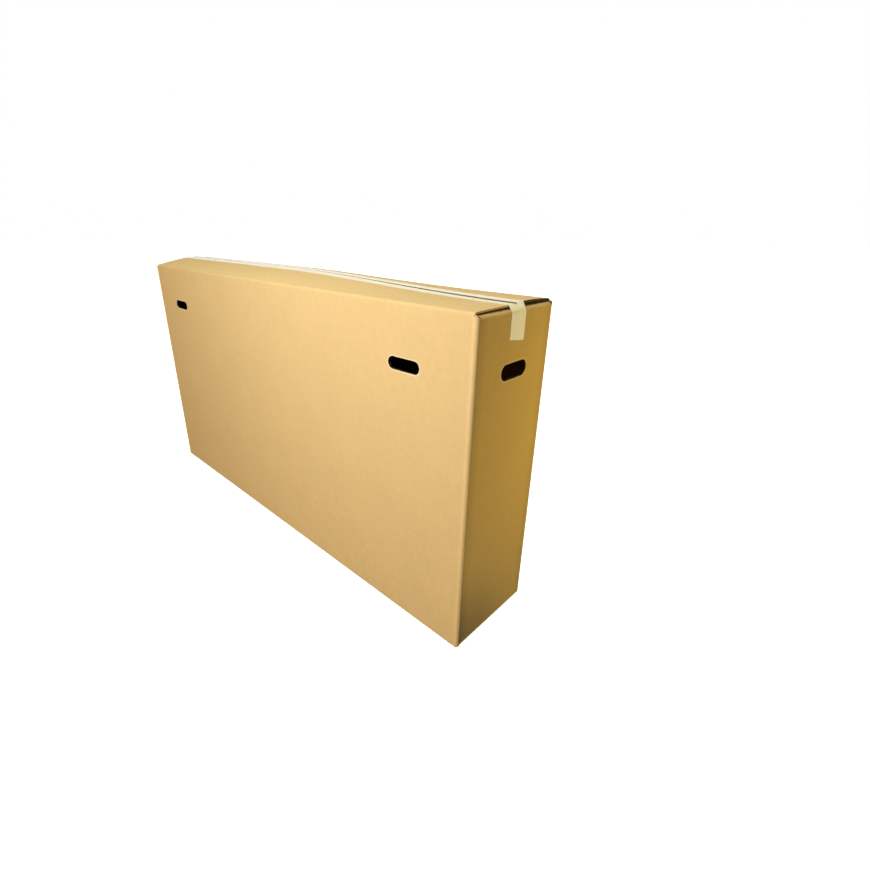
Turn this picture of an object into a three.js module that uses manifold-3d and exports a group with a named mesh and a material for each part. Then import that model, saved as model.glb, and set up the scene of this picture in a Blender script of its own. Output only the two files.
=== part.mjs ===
// A long, narrow, taped shipping carton of double-wall corrugated board.
// Millimetres, +Z up. The origin is at the middle of the underside, X runs along the length and Y
// across the width. The long wall that faces -Y is the front.
//
// The carton is one sheet, die-cut and creased flat, then folded into four walls with four flaps at
// the top and four at the bottom. The two short flaps fold in first and the two long ones close over
// them and meet at the middle, where a strip of clear tape holds them. The closed top flaps spring
// back into a low ridge that dies away towards the right end.

import * as THREE from 'three';
import { mergeVertices } from 'three/addons/utils/BufferGeometryUtils.js';
import Module from 'manifold-3d';

// Room inside the closed carton.
const insideLength = 1450;
const insideWidth = 250;
const insideHeight = 750;

// Board and folds.
const board = 6.5;
const foldInside = 1.5;
const foldSteps = 5;
const layerGap = 0.3;

// Slots between the flaps. An edge beside a slot stands this far from the fold's straight wall.
const slotClearance = 1;
const seamGap = 4;
const cornerNotch = 4;

// Glued joint, a tab of the left end wall inside the back wall.
const glueTabWidth = 36;
const glueTabTaper = 14;
const jointEdgeInset = 1;

// Spring-back of the closed top flaps at the seam, and how far each one bows above a straight line.
const ridgeLeft = 23;
const ridgeRightFront = 1;
const ridgeRightBack = 3.5;
const ridgeRunOut = 775;
const bowLeftFront = 1.2;
const bowRightFront = 0.3;
const bowLeftBack = 8;
const bowRightBack = 3;
const lengthSteps = 20;

// Hand holes, one die for the long walls and a taller one for the end walls.
const holeWidth = 90;
const longHoleHeight = 28;
const endHoleHeight = 34;
const holeBelowTop = 128;
const holeFromEnd = 180;
const holeArcSteps = 8;
const cutOverrun = 3;

// Tape.
const tapeWidth = 50;
const tape = 0.2;
const tapeClearance = 0.15;
const tapeDrop = 60;
const tapeSlant = -6;
const tapeFoldSteps = 4;

// Sizes that follow from the ones above.
const foldOutside = foldInside + board;
const halfLength = insideLength / 2 + board;
const halfWidth = insideWidth / 2 + board;
const underside = tape;
const topSide = underside + insideHeight + 4 * board + 2 * layerGap;
const shortFlapDrop = board + layerGap;
const flapRun = halfWidth - foldOutside - seamGap / 2;
const quarterTurn = Math.PI / 2;

// Evenly spaced numbers from one value to another.
function spaced(from, to, steps) {
  return Array.from({ length: steps + 1 }, (_, k) => from + (to - from) * k / steps);
}

// A value that the ridge takes smoothly from the right end to where it has run in.
function alongRidge(x, rightEnd, left) {
  const along = THREE.MathUtils.smoothstep(halfLength - x, 0, ridgeRunOut);
  return THREE.MathUtils.lerp(rightEnd, left, along);
}

// A line over a flap's outer face, from the end of its wall to the free edge: how far in, how far
// up, and the slope there. It turns round the fold first and then runs on in a shallow bow. The
// flap is as long as a flat one, and its last three points lie under the tape.
function flapLine(rise, bow) {
  const bowTurn = 4 * bow / flapRun;
  const lift = Math.asin(rise / flapRun) + bowTurn;
  const run = flapRun + foldOutside * lift;
  const fold = spaced(0, quarterTurn - lift, foldSteps).map((turn) => ({
    inward: foldOutside * (1 - Math.cos(turn)),
    up: foldOutside * Math.sin(turn),
    slope: quarterTurn - turn,
  }));
  const start = fold.at(-1);
  const pointAt = (distance) => {
    const turn = 2 * bowTurn * distance / run;
    const chord = turn === 0 ? distance : distance * Math.sin(turn / 2) / (turn / 2);
    return {
      inward: start.inward + chord * Math.cos(lift - turn / 2),
      up: start.up + chord * Math.sin(lift - turn / 2),
      slope: lift - turn,
    };
  };
  const taped = tapeWidth / 2 - (halfWidth - pointAt(run).inward);
  const bare = run - taped;
  const stations = [bare / 3, bare * 2 / 3, bare, run - taped / 2, run];
  return [...fold, ...stations.map(pointAt)];
}

const flatLine = flapLine(0, 0);

function frontLine(x) {
  const rise = alongRidge(x, ridgeRightFront, ridgeLeft);
  return flapLine(rise, alongRidge(x, bowRightFront, bowLeftFront));
}

function backLine(x) {
  const rise = alongRidge(x, ridgeRightBack, ridgeLeft);
  return flapLine(rise, alongRidge(x, bowRightBack, bowLeftBack));
}

// Closes a sheet into one solid. It takes a grid of point pairs, one on each face, and says for each
// cell of the grid whether the sheet is there. Every cell edge with no neighbour gets a cut edge.
function closedSheet(grid, isThere) {
  const corners = [];
  const cells = [];
  const pairAt = (c, r) => {
    const pair = grid[c][r];
    if (pair.index === undefined) {
      pair.index = corners.length / 3;
      corners.push(...pair.outer.toArray(), ...pair.inner.toArray());
    }
    return pair.index;
  };
  const there = (c, r) => c >= 0 && r >= 0 && c + 1 < grid.length
    && r + 1 < grid[c].length && isThere(c, r);
  const face = (a, b, c, d) => cells.push(a, b, c, a, c, d);
  for (let c = 0; c + 1 < grid.length; c++) {
    for (let r = 0; r + 1 < grid[c].length; r++) {
      if (!there(c, r)) continue;
      const a = pairAt(c, r);
      const b = pairAt(c + 1, r);
      const d = pairAt(c + 1, r + 1);
      const e = pairAt(c, r + 1);
      face(a, b, d, e);
      face(a + 1, e + 1, d + 1, b + 1);
      if (!there(c, r - 1)) face(a, a + 1, b + 1, b);
      if (!there(c + 1, r)) face(b, b + 1, d + 1, d);
      if (!there(c, r + 1)) face(d, d + 1, e + 1, e);
      if (!there(c - 1, r)) face(e, e + 1, a + 1, a);
    }
  }
  const geometry = new THREE.BufferGeometry();
  geometry.setAttribute('position', new THREE.Float32BufferAttribute(corners, 3));
  geometry.setIndex(cells);
  return geometry;
}

// The sheet's columns, each an upright line on the girth seen from above. They run anticlockwise
// from the free edge of the glued tab to the free edge of the back wall. A column has a place on
// the outer face, the way it faces, the height of its wall, and its flaps if it has any.
const wallFoot = underside + foldOutside;
const wallTop = topSide - foldOutside;
const longWall = { foot: wallFoot, top: wallTop };
const endWall = { foot: wallFoot + shortFlapDrop, top: wallTop - shortFlapDrop };

function wallColumn(x, y, angle, wall, flaps) {
  return { x, y, angle, ...wall, flaps };
}

// Columns round an upright fold. Its own foot and top stand beyond the walls', up to the slots.
function cornerColumns(x, y, startAngle, before, after) {
  return spaced(0, 1, foldSteps).map((share) => {
    const angle = startAngle + quarterTurn * share;
    const mix = (name) => THREE.MathUtils.lerp(before[name], after[name], share);
    const reach = foldOutside - cornerNotch;
    return {
      x: x + foldOutside * Math.cos(angle),
      y: y + foldOutside * Math.sin(angle),
      angle,
      foot: mix('foot'),
      top: mix('top'),
      cornerFoot: mix('foot') - reach,
      cornerTop: mix('top') + reach,
    };
  });
}

const straightX = halfLength - foldOutside;
const straightY = halfWidth - foldOutside;
const longFlapEnd = straightX - slotClearance;
const tabOutside = halfWidth - board - layerGap;
const tabFoldY = tabOutside - foldOutside;
const flapX = spaced(-longFlapEnd, longFlapEnd, lengthSteps);

const glueTab = [
  { x: -straightX + glueTabWidth, taper: glueTabTaper },
  { x: -straightX + slotClearance, taper: 0 },
].map(({ x, taper }) => wallColumn(x, tabOutside, quarterTurn, {
  foot: endWall.foot + taper,
  top: endWall.top - taper,
}));
const leftEnd = [tabFoldY - slotClearance, -straightY + slotClearance].map(
  (y) => wallColumn(-halfLength, y, 2 * quarterTurn, endWall, { top: flatLine, foot: flatLine }),
);
const front = flapX.map(
  (x) => wallColumn(x, -halfWidth, 3 * quarterTurn, longWall, { top: frontLine(x), foot: flatLine }),
);
const rightEnd = [-straightY + slotClearance, straightY - slotClearance].map(
  (y) => wallColumn(halfLength, y, 0, endWall, { top: flatLine, foot: flatLine }),
);
const back = flapX.toReversed().map(
  (x) => wallColumn(x, halfWidth, quarterTurn, longWall, { top: backLine(x), foot: flatLine }),
);
const jointEdge = wallColumn(-halfLength + jointEdgeInset, halfWidth, quarterTurn, longWall);

const columns = [
  ...glueTab,
  ...cornerColumns(-straightX, tabFoldY, quarterTurn, endWall, endWall),
  ...leftEnd,
  ...cornerColumns(-straightX, -straightY, 2 * quarterTurn, endWall, longWall),
  ...front,
  ...cornerColumns(straightX, -straightY, 3 * quarterTurn, longWall, endWall),
  ...rightEnd,
  ...cornerColumns(straightX, straightY, 0, endWall, longWall),
  ...back,
  jointEdge,
];

// Rows run from the free edge of the bottom flap, up the wall, to the free edge of the top flap.
const flapRows = flatLine.length - 1;
const footRow = flapRows;
const topRow = flapRows + 1;

function pointPair(column, row) {
  const outward = new THREE.Vector3(Math.cos(column.angle), Math.sin(column.angle), 0);
  const up = new THREE.Vector3(0, 0, 1);
  const outer = new THREE.Vector3(column.x, column.y, 0);
  let normal = outward;
  if (row === footRow || row === topRow) {
    outer.z = row === footRow ? column.foot : column.top;
  } else if (column.flaps) {
    const atTop = row > topRow;
    const sign = atTop ? 1 : -1;
    const step = (atTop ? column.flaps.top : column.flaps.foot)[atTop ? row - topRow : footRow - row];
    outer.addScaledVector(outward, -step.inward);
    outer.z = (atTop ? column.top : column.foot) + sign * step.up;
    normal = outward.clone().multiplyScalar(Math.sin(step.slope))
      .addScaledVector(up, sign * Math.cos(step.slope));
  } else {
    outer.z = (row > topRow ? column.cornerTop : column.cornerFoot) ?? column.top;
  }
  return { outer, inner: outer.clone().addScaledVector(normal, -board) };
}

function foldedSheet() {
  const rows = Array.from({ length: 2 * flapRows + 2 }, (_, row) => row);
  const grid = columns.map((column) => rows.map((row) => pointPair(column, row)));
  const isThere = (c, row) => {
    const [one, two] = [columns[c], columns[c + 1]];
    if (row === footRow) return true;
    if (one.flaps && two.flaps) return one.angle === two.angle;
    const besideWall = row === footRow - 1 || row === topRow;
    return besideWall && one.cornerTop !== undefined && two.cornerTop !== undefined;
  };
  return closedSheet(grid, isThere);
}

// A round-ended prism for a hand hole, lying along Y and centred on the wall's thickness.
function holePrism(height) {
  const radius = height / 2;
  const straight = holeWidth / 2 - radius;
  const outline = new THREE.Shape();
  outline.absarc(straight, 0, radius, -quarterTurn, quarterTurn);
  outline.absarc(-straight, 0, radius, quarterTurn, 3 * quarterTurn);
  const depth = board + 2 * cutOverrun;
  const prism = new THREE.ExtrudeGeometry(outline, {
    depth,
    bevelEnabled: false,
    curveSegments: holeArcSteps,
  });
  return prism.translate(0, 0, -depth / 2).rotateX(quarterTurn);
}

function handHoles() {
  const z = topSide - holeBelowTop;
  const x = halfLength - holeFromEnd;
  const longWallMiddle = halfWidth - board / 2;
  const endWallMiddle = halfLength - board / 2;
  const inLongWalls = [-x, x].flatMap((place) => [-longWallMiddle, longWallMiddle].map(
    (y) => holePrism(longHoleHeight).translate(place, y, z),
  ));
  const inEndWalls = [-endWallMiddle, endWallMiddle].map(
    (place) => holePrism(endHoleHeight).rotateZ(quarterTurn).translate(place, 0, z),
  );
  return [...inLongWalls, ...inEndWalls];
}

const wasm = await Module();
wasm.setup();

function toSolid(geometry) {
  const bare = geometry.clone();
  bare.deleteAttribute('normal');
  bare.deleteAttribute('uv');
  const merged = mergeVertices(bare, 1e-4);
  return new wasm.Manifold(new wasm.Mesh({
    numProp: 3,
    vertProperties: merged.attributes.position.array,
    triVerts: Uint32Array.from(merged.index.array),
  }));
}

function toGeometry(solid) {
  const mesh = solid.getMesh();
  const geometry = new THREE.BufferGeometry();
  geometry.setAttribute('position', new THREE.BufferAttribute(mesh.vertProperties, 3));
  geometry.setIndex(new THREE.BufferAttribute(mesh.triVerts, 1));
  return geometry;
}

function cartonGeometry() {
  let solid = toSolid(foldedSheet());
  for (const hole of handHoles()) {
    solid = solid.subtract(toSolid(hole));
  }
  return toGeometry(solid);
}

// Points across the tape, from the front flap over the seam to the back flap.
function tapeAcross(x) {
  const first = flapRows - 2;
  const onFlap = (line, side) => line.slice(first).map((step) => ({
    at: new THREE.Vector3(x, side * (halfWidth - step.inward), wallTop + step.up),
    normal: new THREE.Vector3(0, side * Math.sin(step.slope), Math.cos(step.slope)),
  }));
  return [...onFlap(frontLine(x), -1), ...onFlap(backLine(x), 1).toReversed()];
}

function tapePair(at, normal) {
  return {
    outer: at.clone().addScaledVector(normal, tapeClearance + tape),
    inner: at.clone().addScaledVector(normal, tapeClearance),
  };
}

// The way down over one end: off the flaps' edge, straight to the end wall's fold, round it, and
// down the wall to the cut end.
function tapeEnd(side) {
  const edge = tapeAcross(side * longFlapEnd);
  const rows = [edge.map(({ at, normal }) => {
    const outward = new THREE.Vector3(side, 0, 0);
    return tapePair(at, normal.clone().add(outward).normalize());
  })];
  const foldZ = endWall.top;
  const turns = edge.map(({ at }) => {
    const across = side * at.x - straightX;
    const above = at.z - foldZ;
    return Math.atan2(above, across) - Math.acos(foldOutside / Math.hypot(across, above));
  });
  for (let k = 0; k <= tapeFoldSteps; k++) {
    rows.push(edge.map(({ at }, j) => {
      const turn = turns[j] * (1 - k / tapeFoldSteps);
      const normal = new THREE.Vector3(side * Math.cos(turn), 0, Math.sin(turn));
      const onFold = new THREE.Vector3(side * straightX, at.y, foldZ);
      return tapePair(onFold.addScaledVector(normal, foldOutside), normal);
    }));
  }
  const cutEnd = topSide - shortFlapDrop - tapeDrop;
  rows.push(edge.map(({ at }) => {
    const onWall = new THREE.Vector3(side * halfLength, at.y, cutEnd + tapeSlant * at.y / tapeWidth);
    return tapePair(onWall, new THREE.Vector3(side, 0, 0));
  }));
  return rows;
}

function topTapeGeometry() {
  const onFlaps = flapX.slice(1, -1).map(
    (x) => tapeAcross(x).map(({ at, normal }) => tapePair(at, normal)),
  );
  return closedSheet([...tapeEnd(-1).toReversed(), ...onFlaps, ...tapeEnd(1)], () => true);
}

function bottomTapeGeometry() {
  return new THREE.BoxGeometry(2 * longFlapEnd, tapeWidth, tape).translate(0, 0, tape / 2);
}

const carton = new THREE.Mesh(
  cartonGeometry(),
  new THREE.MeshStandardMaterial({ color: 0xcda766, roughness: 0.9, metalness: 0 }),
);
carton.name = 'carton';

const tapeFinish = { color: 0xddcc9c, roughness: 0.3, metalness: 0 };
const topTape = new THREE.Mesh(topTapeGeometry(), new THREE.MeshStandardMaterial(tapeFinish));
topTape.name = 'top_tape';
const bottomTape = new THREE.Mesh(bottomTapeGeometry(), new THREE.MeshStandardMaterial(tapeFinish));
bottomTape.name = 'bottom_tape';

const model = new THREE.Group();
model.name = 'shipping_carton';
model.add(carton, topTape, bottomTape);

export default model;
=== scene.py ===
"""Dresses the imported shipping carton: kraft board with fluted cut edges, and clear packing tape."""

import math

import bpy
from mathutils import Matrix, Vector


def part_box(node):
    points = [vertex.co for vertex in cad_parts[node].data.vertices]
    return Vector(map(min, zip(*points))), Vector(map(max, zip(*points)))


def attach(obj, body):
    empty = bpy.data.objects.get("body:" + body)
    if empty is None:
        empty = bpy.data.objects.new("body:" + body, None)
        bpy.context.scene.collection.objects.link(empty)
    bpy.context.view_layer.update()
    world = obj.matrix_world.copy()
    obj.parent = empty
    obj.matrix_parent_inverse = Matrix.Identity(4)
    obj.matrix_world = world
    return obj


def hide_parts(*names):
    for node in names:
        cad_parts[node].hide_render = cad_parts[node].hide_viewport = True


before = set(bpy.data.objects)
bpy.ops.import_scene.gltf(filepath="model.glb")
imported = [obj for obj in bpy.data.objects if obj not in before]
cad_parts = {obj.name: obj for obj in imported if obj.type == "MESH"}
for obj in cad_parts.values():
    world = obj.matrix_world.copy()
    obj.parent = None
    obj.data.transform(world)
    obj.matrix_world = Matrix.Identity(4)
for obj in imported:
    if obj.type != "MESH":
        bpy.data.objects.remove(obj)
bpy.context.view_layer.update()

bl_info = {
    "name": "Shipping carton finish",
    "version": (1, 0, 0),
    "blender": (4, 5, 0),
    "location": "View3D > Sidebar > Carton",
    "description": "Kraft board, fluted cut edges and clear tape for a shipping carton",
    "category": "Object",
}

MM = 0.001
BODY = "root"

# The sheet of board, as the solids have it. The walls are straight between their folds.
BOARD = 6.5 * MM
FOLD_RADIUS = 8.0 * MM
FLUTE_PITCH = 7.6 * MM
SHEET_LOW, SHEET_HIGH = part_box("carton")
HALF_LENGTH = SHEET_HIGH.x
HALF_WIDTH = SHEET_HIGH.y
INSIDE_HEIGHT = 750 * MM
LAYER_GAP = 0.3 * MM
SHORT_FLAP_DROP = BOARD + LAYER_GAP
FOLD_TOP = SHEET_LOW.z + INSIDE_HEIGHT + 4 * BOARD + 2 * LAYER_GAP
STRAIGHT_X = HALF_LENGTH - FOLD_RADIUS
STRAIGHT_Y = HALF_WIDTH - FOLD_RADIUS
STRAIGHT_FOOT = SHEET_LOW.z + FOLD_RADIUS
STRAIGHT_TOP = FOLD_TOP - FOLD_RADIUS

# The inner part of the carton's room, in x, y and z. Each face of the sheet looks to it or away.
ROOM_CORE = ((-0.6, 0.6), (-0.05, 0.05), (0.1, 0.6))

# The order of the sheet's materials.
OUTER, EDGE, INNER = 0, 1, 2

# Hand holes: their height above the floor, how far the pairs are from the middle, the straight
# part and end radius of each die, and how far from a rim its pressing fades and ends.
HOLE_Z = FOLD_TOP - 128 * MM
HOLE_X = HALF_LENGTH - 180 * MM
LONG_HOLE = (31 * MM, 14 * MM)
END_HOLE = (28 * MM, 17 * MM)
RIM_FADES = 1.5 * MM
RIM_ENDS = 4.5 * MM

# The liner's tone before its patterns, the painted highlight and painted shades that the folds and
# the foot's front corners add to it, and how much the die adds.
BASE_TONE = 0.745
PAINTED_HIGHLIGHT_TONE = 0.12
PAINTED_LEVEL_SHADE = -0.07
PAINTED_CREASE_SHADE = -0.14
PAINTED_CORNER_SHADE = -0.6
RIM_SHARE = 0.5

# Widths of the painted highlight and the painted shade beside an upright fold, and how far the
# painted shade at the foot's front corner spreads.
PAINTED_HIGHLIGHT_BAND = 7 * MM
CREASE_SHADE_BAND = 28 * MM
CORNER_SHADE_REACH = 250 * MM

# Cut edge: its rows of flutes, a hair under two so that the last face is still in the second row,
# how far the second row lags in radians, and in shares of a row's height the wave's swing and
# where the paper ends and the hollow begins.
FLUTE_ROWS = 1.999
ROW_LAG = 2.2
WAVE_SWING = 0.38
PAPER_ENDS, HOLLOW_BEGINS = 0.04, 0.09
# A cut along the flutes is never quite true, so it drifts through them by this share.
CUT_DRIFT = 0.03

# Tape: the cuts across an end that make its teeth, a tooth's length, and how far down an end
# surely is.
TAPE_CUTS = 47
TAPE_TOOTH = 1.2 * MM
TAPE_DROP_LEAST = 40 * MM

# How much of the board the tape hides, partly the film's own milkiness and partly a painted sheen:
# where it is glued, what the patches add, and the share of it that is left over the open seam.
FILM_COVER_AND_SHEEN = 0.76
PATCH_COVER = 0.18
SEAM_SHARE = 0.12

# Meshes: vertices this close are one, faces within this angle in degrees are one flat face, and
# bends up to these angles are smooth. The ridge's bends are well above the flat angle.
WELD = 0.02 * MM
FLAT_ANGLE = 0.1
SHEET_BEND = 35
TAPE_BEND = 40

# The photograph's view, in its own 870 pixel frame.
PICTURE = 870
FOCAL_PIXELS = 477.4
CENTRE_PIXEL = (403.0, 418.8)
CAMERA_PLACE = (1.2173, -0.8108, 0.9158)
CAMERA_RIGHT = (0.71288, 0.70126, 0.00512)
CAMERA_DOWN = (0.26709, -0.26474, -0.92659)
CAMERA_AHEAD = (-0.64843, 0.66192, -0.37603)
SENSOR = 36.0

# The floor's size in metres and its own glow, which keeps it white.
FLOOR_SIZE = 60.0
FLOOR_GLOW = 0.9

# Even light from all around on the carton, and the lamps: name, kind, power, colour, place, aim
# and size.
AMBIENT = (0.13, 0.11, 0.045, 1.0)
LAMPS = (
    ("key_near", "AREA", 24.0, (0.75, 0.82, 1.0), (0.45, -1.35, 1.3), (0.35, -0.13, 0.6), 0.7),
    ("key_high", "AREA", 9.0, (0.62, 0.86, 1.0), (0.2, -1.1, 1.9), (0.2, -0.13, 0.6), 0.7),
    ("front_fill", "SUN", 0.90, (1.0, 0.74, 0.34), (-0.4, -1.0, 0.25), (0, 0, 0), 0.9),
    ("right_near", "AREA", 2.2, (1.0, 0.83, 0.12), (1.25, 0.44, 0.6), (0.73, 0.06, 0.45), 0.35),
    ("top_fill", "SUN", 0.78, (0.80, 0.98, 0.96), (0.0, 0.1, 1.0), (0, 0, 0), 0.6),
    ("back_fill", "SUN", 1.1, (1.0, 0.95, 0.82), (0.2, 1.0, 0.3), (0, 0, 0), 0.9),
    ("left_fill", "SUN", 0.6, (1.0, 0.96, 0.8), (-1.0, -0.1, 0.35), (0, 0, 0), 0.9),
)


def linear(colour):
    """An sRGB hex colour as linear red, green, blue and full alpha."""
    values = [int(colour[i:i + 2], 16) / 255 for i in (1, 3, 5)]
    parts = [v / 12.92 if v <= 0.04045 else ((v + 0.055) / 1.055) ** 2.4 for v in values]
    return (*parts, 1.0)


class CartonSizes(bpy.types.PropertyGroup):
    """Sizes and colours that a user would change."""

    flute_pitch: bpy.props.FloatProperty(
        name="Flute pitch",
        description="Distance between two flutes of the board",
        default=FLUTE_PITCH,
        unit="LENGTH",
    )
    liner_colour: bpy.props.FloatVectorProperty(
        name="Liner",
        description="Colour of the board's kraft liner",
        size=4,
        subtype="COLOR",
        default=linear("#D9B377"),
    )
    # The fluting paper's colour is partly its own and partly painted shade that darkens the cut
    # edges.
    flute_colour: bpy.props.FloatVectorProperty(
        name="Flutes",
        description="Colour of the fluting paper that shows at a cut edge",
        size=4,
        subtype="COLOR",
        default=linear("#9A7340"),
    )
    # The inside's liner is darker than the outer one, as painted shade for the carton's dark inside.
    inner_colour: bpy.props.FloatVectorProperty(
        name="Inner liner",
        description="Colour of the liner inside the carton",
        size=4,
        subtype="COLOR",
        default=linear("#94703F"),
    )
    # The tape's pale warm colour is partly its own and partly a painted sheen.
    film_colour: bpy.props.FloatVectorProperty(
        name="Tape",
        description="Colour of the clear tape over the board",
        size=4,
        subtype="COLOR",
        default=linear("#FFE8A6"),
    )


def add(tree, kind, settings=None, *inputs, **named):
    """Adds a node with its settings. Its inputs, in order or by name, take a value, an output or
    a node. A name is the socket's identifier with an underscore for each space."""
    node = tree.nodes.new(kind)
    for name, value in (settings or {}).items():
        setattr(node, name, value)
    sockets = {socket.identifier.replace(" ", "_"): socket for socket in node.inputs}
    by_name = [(sockets[name], value) for name, value in named.items()]
    for socket, value in [*zip(node.inputs, inputs), *by_name]:
        if isinstance(value, bpy.types.Node):
            value = value.outputs[0]
        if isinstance(value, bpy.types.NodeSocket):
            tree.links.new(value, socket)
        else:
            socket.default_value = value
    return node


def new_material(name):
    """An empty node material and its tree."""
    material = bpy.data.materials.new(name)
    material.use_nodes = True
    material.node_tree.nodes.clear()
    return material, material.node_tree


def off_hole(tree, across, up, straight, radius):
    """Distance from the rim of a round-ended hole, from the place across and up from its middle."""
    aside = add(tree, "ShaderNodeMath", {"operation": "ABSOLUTE"}, across)
    beyond = add(tree, "ShaderNodeMath", {"operation": "SUBTRACT"}, aside, straight)
    beyond = add(tree, "ShaderNodeMath", {"operation": "MAXIMUM"}, beyond, 0.0)
    spot = add(tree, "ShaderNodeCombineXYZ", None, beyond, up)
    reach = add(tree, "ShaderNodeVectorMath", {"operation": "LENGTH"}, spot).outputs["Value"]
    return add(tree, "ShaderNodeMath", {"operation": "SUBTRACT"}, reach, radius)


def rim_closeness(tree, place):
    """1 at the rim of a hand hole, where the die has pressed the board, and 0 away from it."""
    x, y, z = add(tree, "ShaderNodeSeparateXYZ", None, place).outputs
    up = add(tree, "ShaderNodeMath", {"operation": "SUBTRACT"}, z, HOLE_Z)
    far = add(tree, "ShaderNodeMath", {"operation": "ABSOLUTE"}, x)
    along = add(tree, "ShaderNodeMath", {"operation": "SUBTRACT"}, far, HOLE_X)
    long_rim = off_hole(tree, along, up, *LONG_HOLE)
    end_rim = off_hole(tree, y, up, *END_HOLE)
    on_end = add(tree, "ShaderNodeMath", {"operation": "GREATER_THAN"}, far, HALF_LENGTH - BOARD)
    rim = add(
        tree, "ShaderNodeMix", None, Factor_Float=on_end, A_Float=long_rim, B_Float=end_rim
    )
    return add(tree, "ShaderNodeMapRange", None, rim, RIM_ENDS, RIM_FADES)


def painted_light_and_shade(tree, place):
    """Painted light and shade in the liner's tone: a painted highlight on the long walls' side of an
    upright fold, painted shade on the end walls' side, painted shade along the level folds, and
    painted shade on the end walls, spreading from the foot of their front corners."""
    middle = (0.0, 0.0, (STRAIGHT_TOP + STRAIGHT_FOOT) / 2)
    straight = (STRAIGHT_X, STRAIGHT_Y, (STRAIGHT_TOP - STRAIGHT_FOOT) / 2)
    centred = add(tree, "ShaderNodeVectorMath", {"operation": "SUBTRACT"}, place, middle)
    mirrored = add(tree, "ShaderNodeVectorMath", {"operation": "ABSOLUTE"}, centred)
    beyond = add(tree, "ShaderNodeVectorMath", {"operation": "SUBTRACT"}, mirrored, straight)
    past_x, past_y, past_z = add(tree, "ShaderNodeSeparateXYZ", None, beyond).outputs
    _, y, z = add(tree, "ShaderNodeSeparateXYZ", None, place).outputs
    eased = {"interpolation_type": "SMOOTHSTEP"}

    # Painted shade on the end wall's side of an upright fold, from a little past the middle of its
    # arc.
    turn = add(tree, "ShaderNodeMath", {"operation": "SUBTRACT"}, past_x, past_y)
    end_side = add(tree, "ShaderNodeMapRange", None, turn, 2.5 * MM, 5.0 * MM)
    wall = add(tree, "ShaderNodeMath", {"operation": "LESS_THAN"}, past_z, FOLD_RADIUS / 2)
    end_side = add(tree, "ShaderNodeMath", {"operation": "MULTIPLY"}, end_side, wall)
    near_end = add(tree, "ShaderNodeMapRange", eased, past_y, -CREASE_SHADE_BAND, 0.0)
    painted_crease_shade = add(tree, "ShaderNodeMath", {"operation": "MULTIPLY"}, near_end, end_side)

    # A painted highlight on the long wall's side of it, up to where the end wall's begins.
    near_long = add(tree, "ShaderNodeMapRange", None, past_x, -PAINTED_HIGHLIGHT_BAND, 1 * MM)
    painted_highlight = add(tree, "ShaderNodeMath", {"operation": "MULTIPLY"}, near_long, wall)
    painted_highlight = add(tree, "ShaderNodeMath", {"operation": "SUBTRACT"}, painted_highlight, end_side)
    painted_highlight = add(tree, "ShaderNodeMath", {"operation": "MAXIMUM"}, painted_highlight, 0.0)

    # Painted shade on the arc of a level fold, which is past the straight part both ways.
    level = add(tree, "ShaderNodeMath", {"operation": "MINIMUM"}, past_y, past_z)
    level = add(tree, "ShaderNodeMapRange", None, level, 0.0, 2.5 * MM)

    # Painted shade spreads up and across an end wall from the foot of its front corner.
    corner = (0.0, -HALF_WIDTH, 0.0)
    flat = add(tree, "ShaderNodeCombineXYZ", None, 0.0, y, z)
    off_corner = add(tree, "ShaderNodeVectorMath", {"operation": "DISTANCE"}, flat, corner)
    reach = off_corner.outputs["Value"]
    painted_corner_shade = add(tree, "ShaderNodeMapRange", eased, reach, CORNER_SHADE_REACH, 0.0)
    painted_corner_shade = add(tree, "ShaderNodeMath", {"operation": "MULTIPLY"}, painted_corner_shade, end_side)

    tone = add(tree, "ShaderNodeMath", {"operation": "MULTIPLY"}, painted_highlight, PAINTED_HIGHLIGHT_TONE)
    for change, share in ((level, PAINTED_LEVEL_SHADE), (painted_crease_shade, PAINTED_CREASE_SHADE), (painted_corner_shade, PAINTED_CORNER_SHADE)):
        tone = add(tree, "ShaderNodeMath", {"operation": "MULTIPLY_ADD"}, change, share, tone)
    return tone


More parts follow.
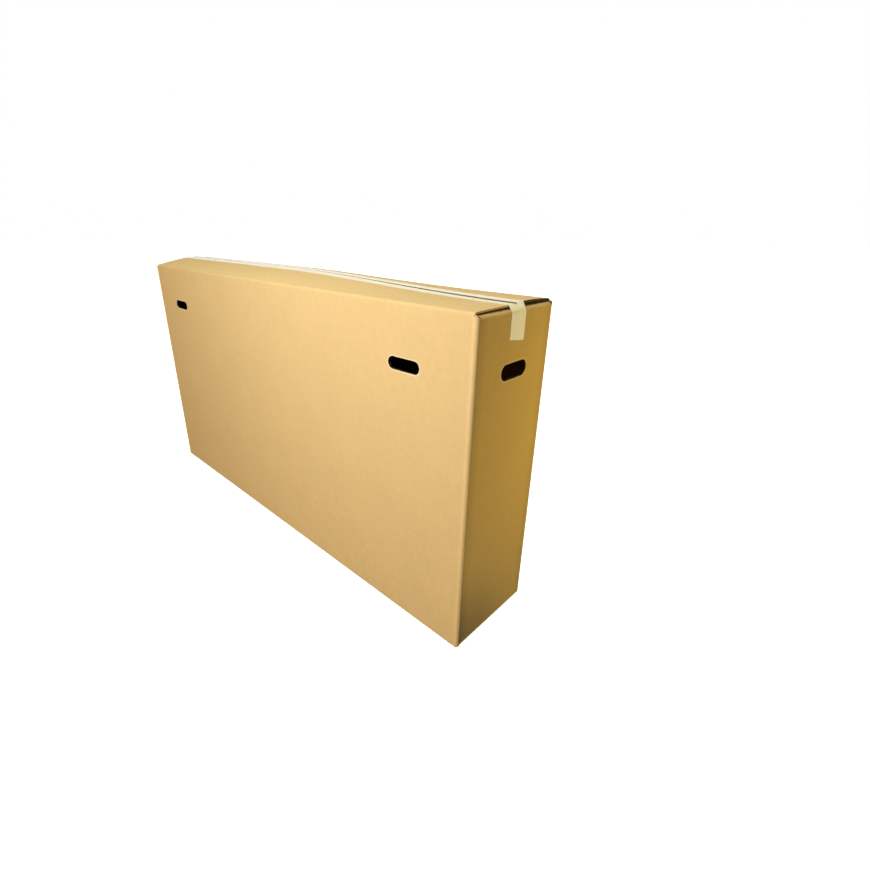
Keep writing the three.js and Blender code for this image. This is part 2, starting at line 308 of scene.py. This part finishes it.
def kraft_liner(name, colour, pitch):
    """Kraft liner on corrugated board: matt brown paper with soft clouds, fibres and flecks, flutes
    that just show through as bumps with faint painted light and shade, and the painted highlight and
    painted shade of the folds and the foot's front corners."""
    material, tree = new_material(name)
    place = add(tree, "ShaderNodeTexCoord").outputs["Object"]
    sheet = add(tree, "ShaderNodeUVMap", {"uv_map": "sheet"})

    # Paper formation in soft patches about 110 mm wide, and finer ones of about 14 mm.
    clouds = add(tree, "ShaderNodeTexNoise", None, Vector=place, Scale=9.0, Detail=1.0)
    mottle = add(tree, "ShaderNodeTexNoise", None, Vector=place, Scale=70.0, Detail=3.0)
    # Fibres about 4 mm long across the flutes and 1 mm wide.
    fibre_map = add(tree, "ShaderNodeMapping", None, Vector=sheet, Scale=(260.0, 900.0, 1.0))
    fibres = add(
        tree, "ShaderNodeTexNoise", None,
        Vector=fibre_map, Scale=1.0, Detail=5.0, Roughness=0.65,
    )
    # Sparse dark flecks of about 2 mm, as recycled kraft has.
    specks = add(tree, "ShaderNodeTexNoise", None, Vector=place, Scale=420.0, Detail=2.0)
    speck = add(tree, "ShaderNodeMapRange", None, specks, 0.68, 0.76)
    across = add(tree, "ShaderNodeSeparateXYZ", None, sheet)
    turn = add(tree, "ShaderNodeMath", {"operation": "MULTIPLY"}, across, 2 * math.pi / pitch)
    flutes = add(tree, "ShaderNodeMath", {"operation": "SINE"}, turn)

    # Each pattern's share of the tone: how much it adds at its full height. The flutes' share paints
    # the washboard's faint light and shade.
    # The tone starts from the painted highlight and painted shade of the folds and the foot's front
    # corners.
    tone = painted_light_and_shade(tree, place)
    shares = ((clouds, 0.07), (mottle, 0.12), (fibres, 0.30), (flutes, 0.008), (speck, -0.12))
    for pattern, share in shares:
        tone = add(tree, "ShaderNodeMath", {"operation": "MULTIPLY_ADD"}, pattern, share, tone)
    tone = add(tree, "ShaderNodeMath", {"operation": "ADD"}, tone, BASE_TONE)
    shade = add(
        tree, "ShaderNodeMix", {"data_type": "RGBA", "blend_type": "MULTIPLY"},
        Factor_Float=1.0, A_Color=colour, B_Color=tone,
    )
    # The die lifts pale fibres all round a hand hole.
    rim = rim_closeness(tree, place)
    lifted = add(tree, "ShaderNodeMath", {"operation": "MULTIPLY"}, rim, RIM_SHARE)
    shade = add(
        tree, "ShaderNodeMix", {"data_type": "RGBA"},
        Factor_Float=lifted, A_Color=shade.outputs["Result"], B_Color=linear("#EBDAB4"),
    )

    # Fibres stand 0.1 mm proud and the flutes 0.05 mm, and a rim is pressed 0.4 mm deep.
    grain = add(tree, "ShaderNodeBump", None, Strength=0.3, Distance=0.1 * MM, Height=fibres)
    washboard = add(
        tree, "ShaderNodeBump", None,
        Strength=0.3, Distance=0.05 * MM, Height=flutes, Normal=grain,
    )
    pressed = add(
        tree, "ShaderNodeBump", {"invert": True},
        Strength=0.6, Distance=0.4 * MM, Height=rim, Normal=washboard,
    )
    surface = add(
        tree, "ShaderNodeBsdfPrincipled", None,
        Base_Color=shade.outputs["Result"],
        Roughness=add(tree, "ShaderNodeMath", {"operation": "MULTIPLY_ADD"}, fibres, 0.2, 0.72),
        IOR=1.45,
        Specular_IOR_Level=0.3,
        Normal=pressed,
    )
    add(tree, "ShaderNodeOutputMaterial", None, surface)
    return material


def cut_edge(sizes):
    """Cut edge of double-wall board: three liners with two rows of flutes, and the hollows between
    them painted near black as painted shade."""
    material, tree = new_material("fluted_cut_edge")
    sheet = add(tree, "ShaderNodeUVMap", {"uv_map": "sheet"})
    along, depth, _ = add(tree, "ShaderNodeSeparateXYZ", None, sheet).outputs

    # Each row has its own wave of fluting paper, and the second lags the first.
    rows = add(tree, "ShaderNodeMath", {"operation": "MULTIPLY"}, depth, FLUTE_ROWS)
    row = add(tree, "ShaderNodeMath", {"operation": "FLOOR"}, rows)
    height = add(tree, "ShaderNodeMath", {"operation": "FRACT"}, rows)
    round_turn = 2 * math.pi / sizes.flute_pitch
    turn = add(tree, "ShaderNodeMath", {"operation": "MULTIPLY"}, along, round_turn)
    turn = add(tree, "ShaderNodeMath", {"operation": "MULTIPLY_ADD"}, row, ROW_LAG, turn)
    wave = add(tree, "ShaderNodeMath", {"operation": "SINE"}, turn)
    crest = add(tree, "ShaderNodeMath", {"operation": "MULTIPLY_ADD"}, wave, WAVE_SWING, 0.5)
    off_wave = add(tree, "ShaderNodeMath", {"operation": "SUBTRACT"}, height, crest)
    off_wave = add(tree, "ShaderNodeMath", {"operation": "ABSOLUTE"}, off_wave)
    # The wave runs aslant, so its distance through the board is more than its true one.
    off_wave = add(tree, "ShaderNodeMath", {"operation": "MULTIPLY"}, off_wave, 0.8)
    off_liner = add(tree, "ShaderNodeMath", {"operation": "PINGPONG"}, height, 0.5)
    paper = add(tree, "ShaderNodeMath", {"operation": "MINIMUM"}, off_wave, off_liner)
    shaded_hollow = add(tree, "ShaderNodeMapRange", None, paper, PAPER_ENDS, HOLLOW_BEGINS)

    # The front top flap's outer layer is pressed shut at its ends, so there the hollows get no
    # painted shade and it shows as a pale lip.
    place = add(tree, "ShaderNodeTexCoord").outputs["Object"]
    _, y, z = add(tree, "ShaderNodeSeparateXYZ", None, place).outputs
    front = add(tree, "ShaderNodeMath", {"operation": "LESS_THAN"}, y, 0.0)
    on_top = add(tree, "ShaderNodeMath", {"operation": "GREATER_THAN"}, z, STRAIGHT_TOP)
    outer = add(tree, "ShaderNodeMath", {"operation": "LESS_THAN"}, depth, 0.55)
    lip = add(tree, "ShaderNodeMath", {"operation": "MULTIPLY"}, front, on_top)
    lip = add(tree, "ShaderNodeMath", {"operation": "MULTIPLY"}, lip, outer)
    open_part = {"operation": "SUBTRACT", "use_clamp": True}
    shaded_hollow = add(tree, "ShaderNodeMath", open_part, shaded_hollow, lip)

    # Torn fibres of about 1 mm.
    torn = add(tree, "ShaderNodeTexNoise", None, Vector=sheet, Scale=900.0, Detail=3.0)
    shade = add(tree, "ShaderNodeMath", {"operation": "MULTIPLY_ADD"}, torn, 0.5, 0.55)
    # Away from the lip, the fluting paper's colour carries painted shade.
    paper_colour = add(
        tree, "ShaderNodeMix", {"data_type": "RGBA"},
        Factor_Float=lip, A_Color=sizes.flute_colour, B_Color=sizes.liner_colour,
    )
    paper_tone = add(
        tree, "ShaderNodeMix", {"data_type": "RGBA", "blend_type": "MULTIPLY"},
        Factor_Float=1.0, A_Color=paper_colour.outputs["Result"], B_Color=shade,
    )
    # The hollows are painted near black, as painted shade in the flutes' recesses.
    colour = add(
        tree, "ShaderNodeMix", {"data_type": "RGBA"},
        Factor_Float=shaded_hollow, A_Color=paper_tone.outputs["Result"], B_Color=linear("#130B04"),
    )
    recess = add(
        tree, "ShaderNodeBump", {"invert": True},
        Strength=0.8, Distance=1.5 * MM, Height=shaded_hollow,
    )
    surface = add(
        tree, "ShaderNodeBsdfPrincipled", None,
        Base_Color=colour.outputs["Result"],
        Roughness=0.9,
        IOR=1.45,
        Specular_IOR_Level=0.15,
        Normal=recess,
    )
    add(tree, "ShaderNodeOutputMaterial", None, surface)
    return material


def clear_film(sizes):
    """Clear packing tape: thin glossy film, milky where the glue hasn't wetted the board, and pale
    with a painted sheen except over the open seam.
    """
    material, tree = new_material("clear_packing_tape")
    place = add(tree, "ShaderNodeTexCoord").outputs["Object"]
    x, y, _ = add(tree, "ShaderNodeSeparateXYZ", None, place).outputs
    aside = add(tree, "ShaderNodeMath", {"operation": "ABSOLUTE"}, y)
    # Over the open seam nothing is glued, so the film stays clear there.
    off_seam = add(tree, "ShaderNodeMapRange", None, aside, 1.5 * MM, 3.0 * MM)
    far = add(tree, "ShaderNodeMath", {"operation": "ABSOLUTE"}, x)
    past_flaps = add(tree, "ShaderNodeMath", {"operation": "GREATER_THAN"}, far, STRAIGHT_X)
    glued = add(tree, "ShaderNodeMath", {"operation": "MAXIMUM"}, off_seam, past_flaps)
    # Patches of missing contact, about 45 mm long and 9 mm wide, as the roller leaves them.
    patch_map = add(tree, "ShaderNodeMapping", None, Vector=place, Scale=(22.0, 110.0, 40.0))
    patches = add(tree, "ShaderNodeTexNoise", None, Vector=patch_map, Scale=1.0, Detail=4.0)
    scaled = {"operation": "MULTIPLY_ADD"}
    # The milky cover is partly the film's own and partly a painted sheen in place of its reflection.
    milk_and_sheen = add(tree, "ShaderNodeMath", scaled, patches, PATCH_COVER, FILM_COVER_AND_SHEEN)
    share = add(tree, "ShaderNodeMath", scaled, glued, 1 - SEAM_SHARE, SEAM_SHARE)
    part = {"operation": "MULTIPLY", "use_clamp": True}
    cover = add(tree, "ShaderNodeMath", part, milk_and_sheen, share)
    # Ripples of the film, a third of a patch in size.
    ripples = add(tree, "ShaderNodeTexNoise", None, Vector=patch_map, Scale=3.0, Detail=3.0)
    surface = add(
        tree, "ShaderNodeBsdfPrincipled", None,
        Base_Color=sizes.film_colour,
        Roughness=0.28,
        IOR=1.5,
        Alpha=cover,
        Normal=add(
            tree, "ShaderNodeBump", None, Strength=0.25, Distance=0.1 * MM, Height=ripples
        ),
        Specular_IOR_Level=0.8,
        Specular_Tint=linear("#FFF6E0"),
        Coat_Weight=1.0,
        Coat_Roughness=0.12,
    )
    add(tree, "ShaderNodeOutputMaterial", None, surface)
    return material


def only_select(piece):
    """Selects one object and makes it the active one."""
    bpy.ops.object.select_all(action="DESELECT")
    piece.select_set(True)
    bpy.context.view_layer.objects.active = piece


def copy_of_solid(node, name):
    """A merged copy of a CAD node, under its own name."""
    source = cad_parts[node]
    only_select(source)
    bpy.ops.object.duplicate()
    piece = bpy.context.active_object
    piece.name = name
    piece.data.name = name
    for key in [k for k in piece.keys() if k.startswith("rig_")]:
        del piece[key]
    piece.parent = None
    piece.data.materials.clear()
    bpy.ops.object.mode_set(mode="EDIT")
    bpy.ops.mesh.select_all(action="SELECT")
    bpy.ops.mesh.remove_doubles(threshold=WELD)
    bpy.ops.object.mode_set(mode="OBJECT")
    return piece


def smooth(piece, angle):
    """Smooths the bends up to an angle in degrees, and keeps the flat faces flat."""
    only_select(piece)
    bpy.ops.object.shade_smooth_by_angle(angle=math.radians(angle))
    weighted = piece.modifiers.new("flat_faces", "WEIGHTED_NORMAL")
    weighted.keep_sharp = True
    bpy.ops.object.modifier_apply(modifier=weighted.name)


def is_cut_edge(piece, face):
    """Whether a face is part of the sheet's cut edge. Elsewhere the sheet's other face is right
    behind it, one thickness of board away."""
    start = face.center - 0.1 * MM * face.normal
    hit, place, _, _ = piece.ray_cast(start, -face.normal, distance=1.5 * BOARD)
    return not hit or (place - face.center).length > 1.1 * BOARD


def on_long_wall(place):
    """Whether a place is on a long wall or its flaps, and not on an end wall or its flaps."""
    above = place.z > FOLD_TOP - SHORT_FLAP_DROP
    below = place.z < SHEET_LOW.z + SHORT_FLAP_DROP
    return above or below or abs(place.y) > HALF_WIDTH - BOARD - LAYER_GAP / 2


def faces_out(face):
    """Whether a face of the sheet looks away from the carton's room."""
    core = [max(low, min(high, at)) for at, (low, high) in zip(face.center, ROOM_CORE)]
    return face.normal.dot(face.center - Vector(core)) > 0


def unfold(mesh):
    """Gives the sheet its own UV map: across the flutes and along them in metres, or at a cut edge
    across the flutes in metres and through the board from 0 to 1."""
    layer = mesh.uv_layers.new(name="sheet")
    outside = [face for face in mesh.polygons if face.material_index == OUTER]
    outer = {index for face in outside for index in face.vertices}
    for face in mesh.polygons:
        for loop in face.loop_indices:
            index = mesh.loops[loop].vertex_index
            x, y, z = mesh.vertices[index].co
            if face.material_index == EDGE:
                depth = 0.0 if index in outer else 1.0
                if on_long_wall(face.center):
                    layer.data[loop].uv = (x + CUT_DRIFT * (y + z), depth)
                else:
                    layer.data[loop].uv = (y + CUT_DRIFT * (x + z), depth)
            elif abs(face.normal.x) > 0.7:
                layer.data[loop].uv = (y, z)
            else:
                layer.data[loop].uv = (x, z + abs(y))


def select_part(piece, mode, chosen):
    """Selects the vertices or edges that a test picks, and goes into edit mode."""
    bpy.ops.object.mode_set(mode="EDIT")
    bpy.ops.mesh.select_mode(type=mode)
    bpy.ops.mesh.select_all(action="DESELECT")
    bpy.ops.object.mode_set(mode="OBJECT")
    for item in piece.data.vertices if mode == "VERT" else piece.data.edges:
        item.select = chosen(item)
    bpy.ops.object.mode_set(mode="EDIT")


def join_flat_faces(piece):
    """Makes each flat face one face, so that the end of a strip is one straight edge."""
    only_select(piece)
    bpy.ops.object.mode_set(mode="EDIT")
    bpy.ops.mesh.select_all(action="SELECT")
    bpy.ops.mesh.dissolve_limited(angle_limit=math.radians(FLAT_ANGLE))
    bpy.ops.object.mode_set(mode="OBJECT")


def serrate(piece, at_end, push):
    """Gives the end of a strip of tape the teeth that the cutter leaves."""
    side = max(vertex.co.y for vertex in piece.data.vertices)

    def is_end_edge(edge):
        first, second = (piece.data.vertices[index].co for index in edge.vertices)
        return at_end(first) and at_end(second) and abs(first.y - second.y) > side

    def is_tooth(vertex):
        step = (vertex.co.y + side) / (2 * side) * (TAPE_CUTS + 1)
        return at_end(vertex.co) and round(step) % 2 == 1

    select_part(piece, "EDGE", is_end_edge)
    bpy.ops.mesh.subdivide(number_cuts=TAPE_CUTS)
    select_part(piece, "VERT", is_tooth)
    bpy.ops.transform.translate(value=push)
    bpy.ops.object.mode_set(mode="OBJECT")


class CARTON_OT_board(bpy.types.Operator):
    """Make the folded sheet of board with its liner and cut edges"""

    bl_idname = "carton.board"
    bl_label = "Folded board"

    def execute(self, context):
        sizes = context.scene.carton_sizes
        pitch = sizes.flute_pitch
        piece = copy_of_solid("carton", "folded_sheet")
        piece.data.materials.append(kraft_liner("kraft_liner", sizes.liner_colour, pitch))
        piece.data.materials.append(cut_edge(sizes))
        # The inside gets the darker liner colour, a painted shade.
        piece.data.materials.append(kraft_liner("inner_liner", sizes.inner_colour, pitch))
        for face in piece.data.polygons:
            if is_cut_edge(piece, face):
                face.material_index = EDGE
            else:
                face.material_index = OUTER if faces_out(face) else INNER
        unfold(piece.data)
        smooth(piece, SHEET_BEND)
        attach(piece, BODY)
        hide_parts("carton")
        return {"FINISHED"}


class CARTON_OT_tape(bpy.types.Operator):
    """Make the strips of clear tape over the top seam and under the bottom one"""

    bl_idname = "carton.tape"
    bl_label = "Tape"

    def execute(self, context):
        sizes = context.scene.carton_sizes
        film = clear_film(sizes)
        for node, name in (("top_tape", "top_seal"), ("bottom_tape", "bottom_seal")):
            piece = copy_of_solid(node, name)
            piece.data.materials.append(film)
            join_flat_faces(piece)
            if node == "top_tape":
                down = (0, 0, -TAPE_TOOTH)
                serrate(piece, lambda place: place.z < FOLD_TOP - TAPE_DROP_LEAST, down)
            else:
                end = max(vertex.co.x for vertex in piece.data.vertices) - MM
                serrate(piece, lambda place: place.x > end, (TAPE_TOOTH, 0, 0))
                serrate(piece, lambda place: place.x < -end, (-TAPE_TOOTH, 0, 0))
            smooth(piece, TAPE_BEND)
            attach(piece, BODY)
            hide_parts(node)
        return {"FINISHED"}


def seen_ray(tree):
    """1 for a look of the camera, also by reflection or through clear film, and 0 for the light
    that falls on the carton."""
    rays = add(tree, "ShaderNodeLightPath").outputs
    seen = rays["Is Camera Ray"]
    for kind in ("Is Glossy Ray", "Is Transmission Ray"):
        either = {"operation": "ADD", "use_clamp": True}
        seen = add(tree, "ShaderNodeMath", either, seen, rays[kind])
    return seen


def white_ground():
    """Plain white studio floor: it shows white, keeps the carton's shadow and bounces little light
    up at the carton."""
    material, tree = new_material("studio_floor")
    dim = add(tree, "ShaderNodeBsdfDiffuse", None, linear("#77705E"))
    bright = add(tree, "ShaderNodeBsdfDiffuse", None, linear("#FFFFFF"))
    glow = add(tree, "ShaderNodeEmission", None, linear("#FFFFFF"), FLOOR_GLOW)
    white = add(tree, "ShaderNodeAddShader", None, bright, glow)
    surface = add(tree, "ShaderNodeMixShader", None, seen_ray(tree), dim, white)
    add(tree, "ShaderNodeOutputMaterial", None, surface)
    return material


def lamp(name, kind, energy, colour, place, aim, size):
    """Adds a lamp that looks at a point. Neither the camera nor the glossy film sees it."""
    data = bpy.data.lights.new(name, kind)
    data.energy = energy
    data.color = colour
    if kind == "AREA":
        data.shape = "DISK"
        data.size = size
    if kind == "SUN":
        data.angle = size
    item = bpy.data.objects.new(name, data)
    bpy.context.scene.collection.objects.link(item)
    item.location = place
    item.visible_camera = False
    item.visible_glossy = False
    item.rotation_mode = "QUATERNION"
    item.rotation_quaternion = (Vector(aim) - Vector(place)).to_track_quat("-Z", "Y")


class CARTON_OT_stage(bpy.types.Operator):
    """Make the floor, the lamps, the white surroundings and the camera"""

    bl_idname = "carton.stage"
    bl_label = "Stage"

    def execute(self, context):
        scene = context.scene
        scene.view_settings.view_transform = "Standard"
        bpy.ops.object.select_all(action="DESELECT")
        bpy.ops.mesh.primitive_plane_add(size=FLOOR_SIZE, location=(0, 0, 0))
        floor = context.active_object
        floor.name = "studio_floor"
        floor.data.materials.append(white_ground())

        world = bpy.data.worlds.new("studio")
        scene.world = world
        world.use_nodes = True
        tree = world.node_tree
        tree.nodes.clear()
        dark = add(tree, "ShaderNodeBackground", None, AMBIENT, 1.0)
        white = add(tree, "ShaderNodeBackground", None, linear("#FFFFFF"), 1.0)
        back = add(tree, "ShaderNodeMixShader", None, seen_ray(tree), dark, white)
        add(tree, "ShaderNodeOutputWorld", None, back)

        for settings in LAMPS:
            lamp(*settings)

        data = bpy.data.cameras.new("camera")
        data.sensor_width = SENSOR
        data.lens = FOCAL_PIXELS * SENSOR / PICTURE
        data.shift_x = (PICTURE / 2 - CENTRE_PIXEL[0]) / PICTURE
        data.shift_y = (CENTRE_PIXEL[1] - PICTURE / 2) / PICTURE
        camera = bpy.data.objects.new("camera", data)
        scene.collection.objects.link(camera)
        turn = Matrix((CAMERA_RIGHT, -Vector(CAMERA_DOWN), -Vector(CAMERA_AHEAD))).transposed()
        camera.matrix_world = Matrix.Translation(CAMERA_PLACE) @ turn.to_4x4()
        scene.camera = camera
        return {"FINISHED"}


class CARTON_PT_panel(bpy.types.Panel):
    """Buttons for the carton's pieces and its sizes"""

    bl_label = "Shipping carton"
    bl_idname = "CARTON_PT_panel"
    bl_space_type = "VIEW_3D"
    bl_region_type = "UI"
    bl_category = "Carton"

    def draw(self, context):
        sizes = context.scene.carton_sizes
        for name in sizes.bl_rna.properties.keys():
            if name not in ("rna_type", "name"):
                self.layout.prop(sizes, name)
        for operator in (CARTON_OT_board, CARTON_OT_tape, CARTON_OT_stage):
            self.layout.operator(operator.bl_idname)


CLASSES = (CartonSizes, CARTON_OT_board, CARTON_OT_tape, CARTON_OT_stage, CARTON_PT_panel)


def register():
    for item in CLASSES:
        bpy.utils.register_class(item)
    bpy.types.Scene.carton_sizes = bpy.props.PointerProperty(type=CartonSizes)


def unregister():
    del bpy.types.Scene.carton_sizes
    for item in reversed(CLASSES):
        bpy.utils.unregister_class(item)


def main():
    """Makes the whole scene."""
    register()
    bpy.ops.carton.board()
    bpy.ops.carton.tape()
    bpy.ops.carton.stage()


if __name__ == "__main__":
    main()
